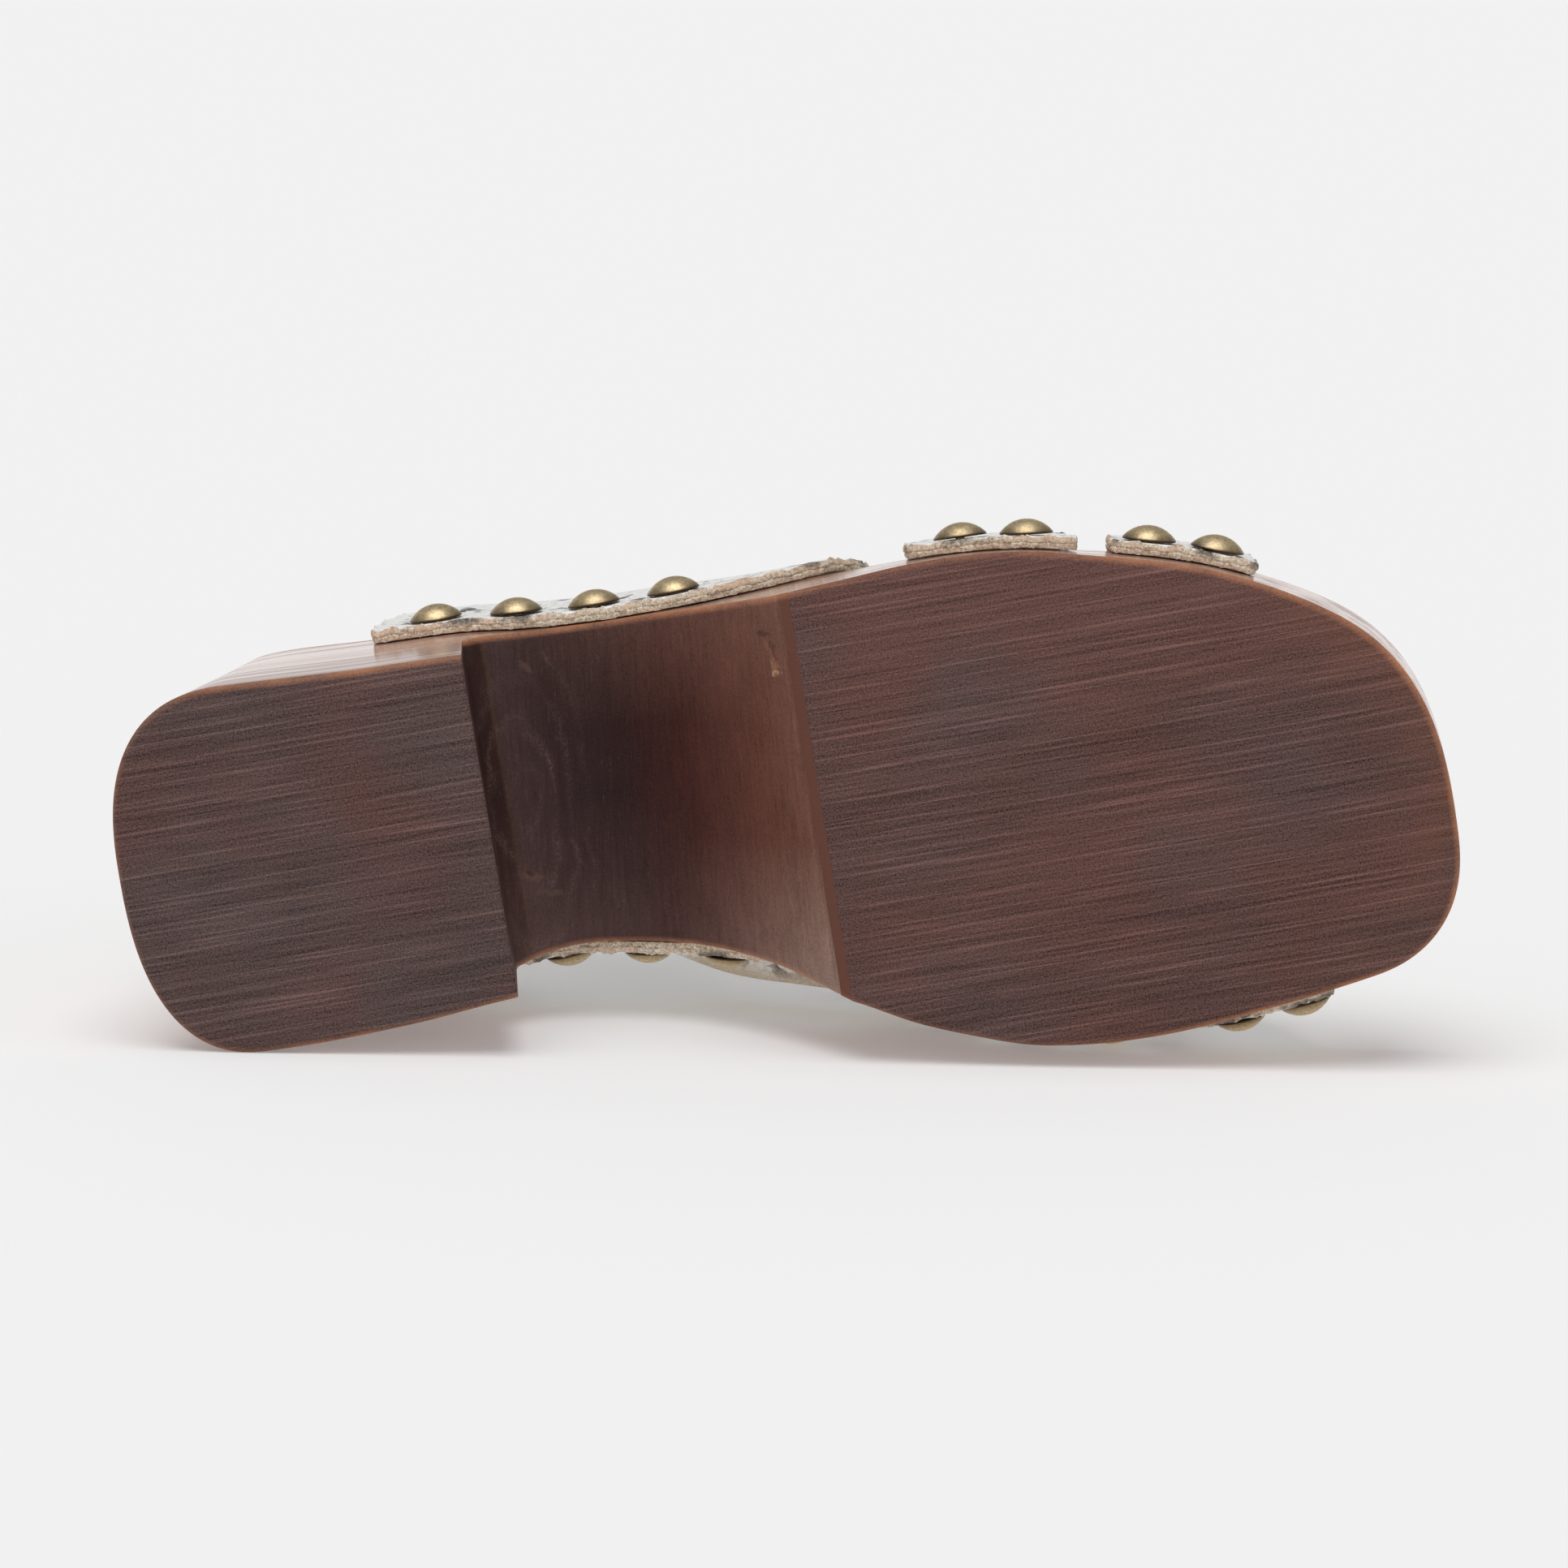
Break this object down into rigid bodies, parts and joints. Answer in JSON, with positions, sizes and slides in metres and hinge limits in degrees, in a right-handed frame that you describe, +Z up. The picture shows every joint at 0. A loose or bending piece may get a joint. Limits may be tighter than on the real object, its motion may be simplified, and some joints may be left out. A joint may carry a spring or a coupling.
{
  "type": "wooden sole sandal",
  "caption": "Right sandal with a carved high wooden sole, a wide instep band, two narrow leather straps and domed brass nails, lying on its inner side.",
  "frame": {"origin": "middle of the bounding box's bottom face, on the floor that the shoe lies on", "axes": "+X along the shoe towards the toe, +Z up (the outer side of the foot), the tread looks along -Y"},
  "size_m": [0.2556, 0.1162, 0.1018],
  "materials": {
    "wood": "stained, matte, worn edges",
    "leather": "mottled, satin",
    "brass": "antique"
  },
  "bodies": {
    "root": {"ball_strap": "leather", "instep_band": "leather", "stud_ball_inner_1": "brass", "stud_ball_inner_2": "brass", "stud_ball_outer_1": "brass", "stud_ball_outer_2": "brass", "stud_band_inner_1": "brass", "stud_band_inner_2": "brass", "stud_band_inner_3": "brass", "stud_band_inner_4": "brass", "stud_band_outer_1": "brass", "stud_band_outer_2": "brass", "stud_band_outer_3": "brass", "stud_band_outer_4": "brass", "stud_toe_inner_1": "brass", "stud_toe_inner_2": "brass", "stud_toe_outer_1": "brass", "stud_toe_outer_2": "brass", "toe_strap": "leather", "wooden_sole": "wood"}
  },
  "joints": []
}
